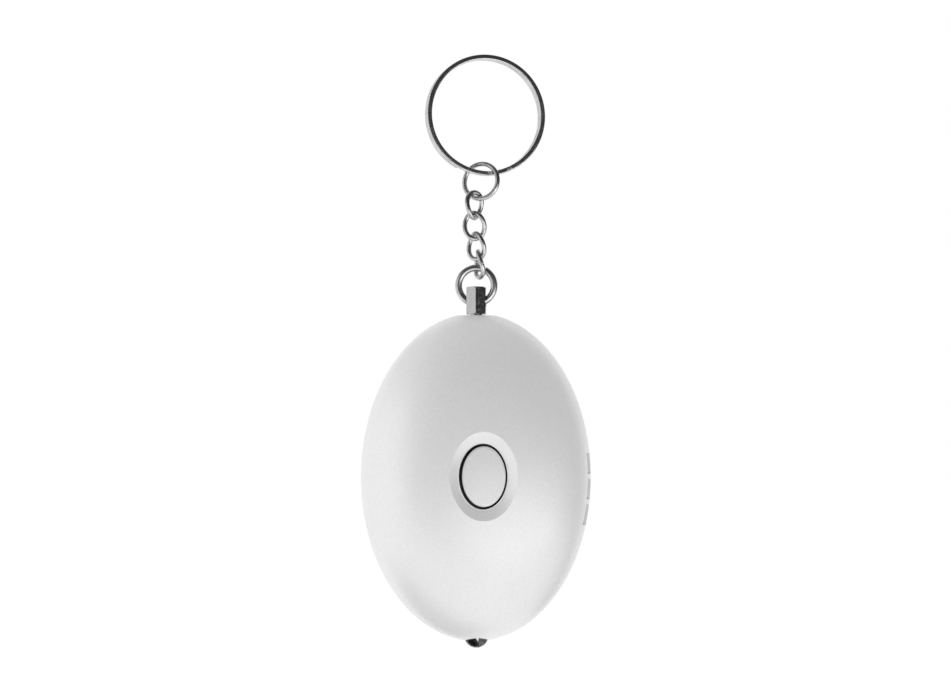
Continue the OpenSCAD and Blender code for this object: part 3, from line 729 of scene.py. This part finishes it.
def make_button(look):
    """Oval button: flange behind the wall, straight skirt, rounded edge and a flat face."""
    low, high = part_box("light_button")
    mid = (low + high) / 2
    bm = bmesh.new()
    rim = bmesh.ops.create_circle(bm, cap_ends=True, segments=BUTTON_STEPS, radius=1)
    half_size = ((high.x - low.x) / 2, (high.z - low.z) / 2, 1)
    bmesh.ops.scale(bm, verts=rim["verts"], vec=half_size)
    front = extrude_up(bm, next(iter(bm.faces)), FLANGE_T)
    inset = (high.x - low.x - BUTTON_W) / 2
    bmesh.ops.inset_individual(bm, faces=[front], thickness=inset, use_even_offset=True)
    front = extrude_up(bm, front, high.y - low.y - FLANGE_T)
    bmesh.ops.bevel(
        bm,
        geom=front.edges[:],
        offset=BUTTON_EDGE,
        segments=5,
        profile=0.5,
        affect="EDGES",
        material=-1,
    )
    turn = Matrix.Rotation(math.radians(90), 4, "X")
    stands = Matrix.Translation((mid.x, high.y, mid.z)) @ turn
    bmesh.ops.transform(bm, verts=bm.verts, matrix=stands)
    finish_piece("button_cap", bm, look, "button", "button_silver", "light_button")


def dome_profile(radius):
    """Quarter round from the tip of a dome out to its side."""
    turns = [math.radians(90 * i / DOME_STEPS) for i in range(DOME_STEPS + 1)]
    return [(radius * math.sin(a), radius - radius * math.cos(a)) for a in turns]


def spin_profile(bm, profile):
    """Full turn of a line of (radius, height) points about Z."""
    made = [bm.verts.new((r, 0, z)) for r, z in profile]
    edges = [bm.edges.new(pair) for pair in zip(made, made[1:])]
    bmesh.ops.spin(
        bm,
        geom=made + edges,
        cent=(0, 0, 0),
        axis=(0, 0, 1),
        angle=2 * math.pi,
        steps=LAMP_STEPS,
        use_merge=True,
    )
    bmesh.ops.remove_doubles(bm, verts=bm.verts, dist=MERGE)


def make_lamp(lens, anvil_shaded_metal, post_lit_metal):
    """Lamp: cast lens with a domed tip and a flange, and the lead frame close behind the tip.
    A leaning notch parts the frame's anvil from its post."""
    low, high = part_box("lamp")
    mid = (low + high) / 2
    height = high.z - low.z
    flange_r = (high.x - low.x) / 2
    flange_z = height - LAMP_FLANGE_T
    foot = [(LAMP_R, flange_z), (flange_r, flange_z), (flange_r, height), (0, height)]
    bm = bmesh.new()
    spin_profile(bm, dome_profile(LAMP_R) + foot)
    bmesh.ops.translate(bm, verts=bm.verts, vec=(mid.x, mid.y, low.z))
    finish_piece("lamp_lens", bm, lens, "case", "clear_lamp", "lamp")
    core_r = LAMP_R - LAMP_SKIN
    core_top = flange_z - LAMP_SKIN
    lean = math.radians(NOTCH_LEAN)
    # The anvil gets the near-black copy of the frame metal and the post the grey one: painted shade
    # and painted light.
    for name, metal, side in (("lamp_anvil", anvil_shaded_metal, -1), ("lamp_post", post_lit_metal, 1)):
        bm = bmesh.new()
        spin_profile(bm, dome_profile(core_r) + [(core_r, core_top), (0, core_top)])
        cut = bmesh.ops.bisect_plane(
            bm,
            geom=bm.verts[:] + bm.edges[:] + bm.faces[:],
            plane_co=(NOTCH_X + side * NOTCH_GAP, 0, NOTCH_Z),
            plane_no=(-side * math.cos(lean), 0, math.sin(lean)),
            clear_outer=True,
        )
        rim = [e for e in cut["geom_cut"] if isinstance(e, bmesh.types.BMEdge)]
        bmesh.ops.contextual_create(bm, geom=rim)
        bmesh.ops.translate(bm, verts=bm.verts, vec=(mid.x, mid.y, low.z + LAMP_SKIN))
        finish_piece(name, bm, metal, "case", "screw_steel")


def seen(tree, shown, lit):
    """Strength of a background: shown to camera, metal and glass, and lit for all other rays."""
    path = tree.nodes.new("ShaderNodeLightPath").outputs
    direct = math_node(tree, "MAXIMUM", path["Is Camera Ray"], path["Is Glossy Ray"])
    direct = math_node(tree, "MAXIMUM", direct, path["Is Transmission Ray"])
    return spread(tree, direct, lit, shown)


def add_studio_mesh(name, bm, look):
    """Puts a mesh of the studio in the scene, apart from the object."""
    mesh = bpy.data.meshes.new(name)
    bm.to_mesh(mesh)
    bm.free()
    mesh.materials.append(look)
    made = bpy.data.objects.new(name, mesh)
    bpy.context.scene.collection.objects.link(made)
    return made


def make_stage():
    """White floor below the hanging object, and a white world that metal and glass also see."""
    bm = bmesh.new()
    bmesh.ops.create_grid(bm, x_segments=1, y_segments=1, size=FLOOR_HALF)
    bmesh.ops.translate(bm, verts=bm.verts, vec=(0, 0, CAD_BOX[0].z - FLOOR_DROP))
    look = bpy.data.materials.new("floor_white")
    look.use_nodes = True
    tree = look.node_tree
    tree.nodes.clear()
    matt = add(tree, "ShaderNodeBsdfDiffuse", {"Color": grey(FLOOR_TONE)})
    strength = seen(tree, FLOOR_SHOWN, FLOOR_LIT)
    glow = add(tree, "ShaderNodeEmission", {"Color": grey(1.0), "Strength": strength})
    both = add(tree, "ShaderNodeAddShader", {0: matt.outputs[0], 1: glow.outputs[0]})
    add(tree, "ShaderNodeOutputMaterial", {"Surface": both.outputs[0]})
    add_studio_mesh("studio_floor", bm, look)

    world = bpy.data.worlds.new("studio")
    bpy.context.scene.world = world
    world.use_nodes = True
    tree = world.node_tree
    tree.nodes.clear()
    strength = seen(tree, WORLD_SHOWN, WORLD_LIT)
    sky = add(tree, "ShaderNodeBackground", {"Color": grey(1.0), "Strength": strength})
    add(tree, "ShaderNodeOutputWorld", {"Surface": sky.outputs[0]})


def aim(obj, target):
    """Turns a light or camera towards a point."""
    obj.rotation_mode = "QUATERNION"
    obj.rotation_quaternion = (Vector(target) - obj.location).to_track_quat("-Z", "Y")


def add_softbox(name, place, width, height, power, mirrored):
    """Soft light on the case; metal sees it only where mirrored is set."""
    light = bpy.data.lights.new(name, "AREA")
    light.shape = "RECTANGLE"
    light.size = width
    light.size_y = height
    light.energy = power
    obj = bpy.data.objects.new(name, light)
    bpy.context.scene.collection.objects.link(obj)
    obj.location = place
    obj.visible_glossy = mirrored
    aim(obj, CASE_MID)


def add_reflector(name, bm, tone):
    """Surface of the studio that only reflections see."""
    look = bpy.data.materials.new(name)
    look.use_nodes = True
    inputs = look.node_tree.nodes["Principled BSDF"].inputs
    inputs["Base Color"].default_value = grey(tone)
    inputs["Roughness"].default_value = 0.9
    made = add_studio_mesh(name, bm, look)
    made.visible_camera = False
    made.visible_diffuse = False
    made.visible_shadow = False
    made.visible_transmission = False


def add_dark_wall(name, start, end, low, tone):
    """Curved dark wall round the object, so that bright metal keeps its dark lines."""
    bm = bmesh.new()
    foot = bm.verts.new((0, -WALL_R, low))
    head = bm.verts.new((0, -WALL_R, WALL_TOP))
    edge = bm.edges.new((foot, head))
    turn = Matrix.Rotation(math.radians(start + VIEW_TURN), 3, "Z")
    bmesh.ops.rotate(bm, verts=bm.verts, cent=(0, 0, 0), matrix=turn)
    bmesh.ops.spin(
        bm,
        geom=[foot, head, edge],
        cent=(0, 0, 0),
        axis=(0, 0, 1),
        angle=math.radians(end - start),
        steps=WALL_STEPS,
    )
    add_reflector(name, bm, tone)


def add_dark_ceiling():
    """Dark ceiling over the front of the studio."""
    bm = bmesh.new()
    bmesh.ops.create_grid(bm, x_segments=1, y_segments=1, size=CEILING_HALF)
    bmesh.ops.translate(bm, verts=bm.verts, vec=(0, -CEILING_FORWARD, WALL_TOP))
    add_reflector("dark_ceiling", bm, CEILING_TONE)


def add_dark_card(name, x, y, length, width, turn):
    """Dark card just above the floor, which darkens the lower flanks of the case."""
    bm = bmesh.new()
    bmesh.ops.create_grid(bm, x_segments=1, y_segments=1, size=0.5)
    bmesh.ops.scale(bm, verts=bm.verts, vec=(length, width, 1))
    bmesh.ops.rotate(bm, verts=bm.verts, matrix=Matrix.Rotation(math.radians(turn), 3, "Z"))
    bmesh.ops.translate(bm, verts=bm.verts, vec=(x, y, CARD_Z))
    add_reflector(name, bm, CARD_TONE)


def add_camera():
    """Camera at the photograph's viewing angle, level with the middle of the case."""
    turn = math.radians(VIEW_TURN)
    right = Vector((math.cos(turn), math.sin(turn), 0))
    back = Vector((math.sin(turn), -math.cos(turn), 0))
    target = right * FRAME_MID[0] + Vector((0, 0, FRAME_MID[1]))
    data = bpy.data.cameras.new("photo_view")
    data.lens = VIEW_LENS
    data.sensor_width = VIEW_SENSOR
    data.clip_start = 0.01
    camera = bpy.data.objects.new("photo_view", data)
    bpy.context.scene.collection.objects.link(camera)
    camera.location = target + back * (FRAME_WIDTH * VIEW_LENS / VIEW_SENSOR)
    camera.location.z = CASE_Z
    aim(camera, target)
    bpy.context.scene.camera = camera


add_camera()

# Both paints turn near-black behind their painted face: painted shade in the case's gaps, slots and
# holes and round the button.
case_paint = make_paint("case_paint", 0.78, LAND_Y + 0.1 * MM, True)
button_paint = make_paint("button_paint", 0.76, LAND_Y + 0.2 * MM, False)
key_chrome = make_chrome("key_chrome", 0.58, 0.18, True)
chain_chrome = make_chrome("chain_chrome", 0.56, 0.27, False)
pin_plate = make_pin_plate()
screw_steel = make_steel("screw_steel", 0.6, 0.25)
cell_steel = make_steel("cell_steel", 0.68, 0.2)
black_plastic = make_black_plastic()
solder_mask = make_board()
winding = make_winding()
brass = make_brass()
ceramic = make_silvered_ceramic()
foam = make_foam()
wire_cover = make_wire_cover()
lens = make_lens()

LOOKS = {
    "front_shell": case_paint,
    "rear_shell": case_paint,
    "case_screws": screw_steel,
    "switch_plunger": black_plastic,
    "push_switch": black_plastic,
    "circuit_board": solder_mask,
    "siren_chip": black_plastic,
    "boost_coil": winding,
    "drive_transistor": black_plastic,
    "sounder_disc": brass,
    "sounder_ceramic": ceramic,
    "sounder_gasket": foam,
    "sounder_wires": wire_cover,
    "button_cells": cell_steel,
    "plus_contact": brass,
    "minus_contact": brass,
    "lamp_wires": wire_cover,
    "pin_contacts": brass,
    "pull_pin": pin_plate,
}
for node, look in LOOKS.items():
    NODES[node].material_slots[0].material = look

make_key_ring(key_chrome)
make_ring(
    "connector_wire", "connector_ring", CONNECTOR_D, LINK_WIRE, CONNECTOR_TURN, CONNECTOR_TILT,
    CONNECTOR_SLIT, chain_chrome, "connector", "chain_nickel",
)
make_ring(
    "pin_ring_wire", "pin_ring", PIN_RING_D, PIN_RING_WIRE, PIN_TURN, 0,
    PIN_RING_SLIT, chain_chrome, "pin_ring", "chain_nickel",
)
for number in (1, 2, 3, 4):
    make_link(number, chain_chrome)
make_button(button_paint)
# Painted shade and light: one lead-frame metal in two tones, near-black for the anvil and grey for
# the post, so the lamp shows a dark side and a lighter side.
make_lamp(lens, make_lead_frame("anvil_shaded_metal", 0.008), make_lead_frame("post_lit_metal", 0.1))

make_stage()
for name, values in SOFTBOXES.items():
    add_softbox(name, *values)
for name, values in DARK_WALLS.items():
    add_dark_wall(name, *values)
add_dark_ceiling()
for name, values in DARK_CARDS.items():
    add_dark_card(name, *values)

bpy.context.scene.view_settings.view_transform = "Standard"
